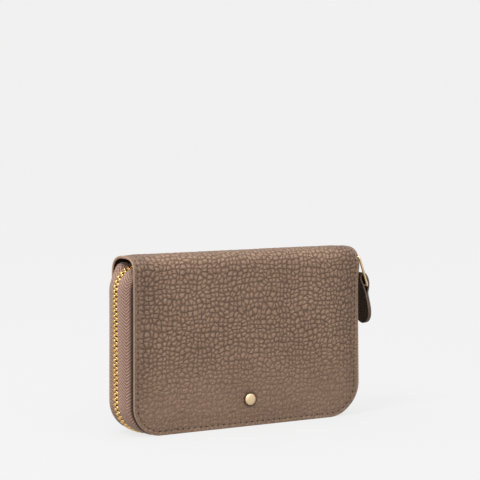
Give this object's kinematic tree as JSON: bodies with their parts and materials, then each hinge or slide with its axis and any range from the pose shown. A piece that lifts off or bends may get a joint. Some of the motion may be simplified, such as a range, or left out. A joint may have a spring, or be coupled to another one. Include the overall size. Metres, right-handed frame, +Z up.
{
  "type": "zip around wallet",
  "caption": "Zip around wallet of grained leather with a metal zip on three sides, a leather pull tab, card slots, note spaces and a coin pocket.",
  "frame": {"origin": "on the table under the middle of the whole object's width and thickness, with the wallet standing on its zip edge", "axes": "+X along the wallet's width to the closed end of the zip, +Y from the front cover to the back cover, +Z up from the zip edge to the spine"},
  "size_m": [0.1598, 0.0258, 0.095],
  "materials": {
    "cover_leather": "taupe pebbled cowhide, semi-matt",
    "card_leather": "smooth taupe leather",
    "lining": "fine brown lining cloth",
    "board": "grey stiffening board",
    "thread": "brown sewing thread",
    "zip_tape": "mauve woven zip tape",
    "gold_metal": "polished light gold plating"
  },
  "bodies": {
    "core": {"spine_cover": "cover_leather", "spine_lining": "lining", "coin_wall_front": "lining", "coin_wall_back": "lining", "coin_side_left": "lining", "coin_side_right": "lining", "coin_zip_tapes": "zip_tape", "coin_zip_teeth": "gold_metal", "coin_zip_stops": "gold_metal", "gusset_front_left": "lining", "gusset_front_right": "lining", "gusset_back_left": "lining", "gusset_back_right": "lining", "zip_bottom_stop": "gold_metal"},
    "front_half": {"front_cover": "cover_leather", "front_board": "board", "front_lining": "lining", "front_seam": "thread", "front_zip_tape": "zip_tape", "front_zip_teeth": "gold_metal", "front_top_stop": "gold_metal", "stud": "gold_metal", "stud_washer": "gold_metal", "front_card_backing": "lining", "front_card_slot_1": "card_leather", "front_card_slot_2": "card_leather", "front_card_slot_3": "card_leather", "front_card_slot_4": "card_leather"},
    "back_half": {"back_cover": "cover_leather", "back_board": "board", "back_lining": "lining", "back_seam": "thread", "back_zip_tape": "zip_tape", "back_zip_teeth": "gold_metal", "back_top_stop": "gold_metal", "back_card_backing": "lining", "back_card_slot_1": "card_leather", "back_card_slot_2": "card_leather", "back_card_slot_3": "card_leather", "back_card_slot_4": "card_leather"},
    "zip_slider": {"zip_slider": "gold_metal"},
    "pull_ring": {"pull_ring": "gold_metal"},
    "pull_tab": {"pull_tab": "cover_leather"},
    "coin_slider": {"coin_slider": "gold_metal"},
    "coin_pull": {"coin_pull": "gold_metal"}
  },
  "joints": [
    {"name": "front_hinge", "type": "hinge", "parent": "core", "child": "front_half", "pos_m": [0, -0.00986, 0.09236], "axis": [-1, 0, 0], "range_deg": [0, 26]},
    {"name": "back_hinge", "type": "hinge", "parent": "core", "child": "back_half", "pos_m": [0, 0.00986, 0.09236], "axis": [1, 0, 0], "range_deg": [0, 26]},
    {"name": "zip_slide", "type": "slide", "parent": "back_half", "child": "zip_slider", "axis": [0.0175, 0, -0.9998], "range_m": [0, 0.048]},
    {"name": "ring_swing", "type": "hinge", "parent": "zip_slider", "child": "pull_ring", "pos_m": [0.07177, 0, 0.08875], "axis": [0, -1, 0], "range_deg": [0, 80]},
    {"name": "tab_swing", "type": "hinge", "parent": "pull_ring", "child": "pull_tab", "pos_m": [0.07791, 0, 0.07141], "axis": [0, -1, 0], "range_deg": [-8, 50]},
    {"name": "coin_slide", "type": "slide", "parent": "core", "child": "coin_slider", "axis": [-1, 0, 0], "range_m": [0, 0.085]},
    {"name": "coin_pull_swing", "type": "hinge", "parent": "coin_slider", "child": "coin_pull", "pos_m": [0.0437, 0, 0.0172], "axis": [0, 1, 0], "range_deg": [-60, 60]}
  ]
}
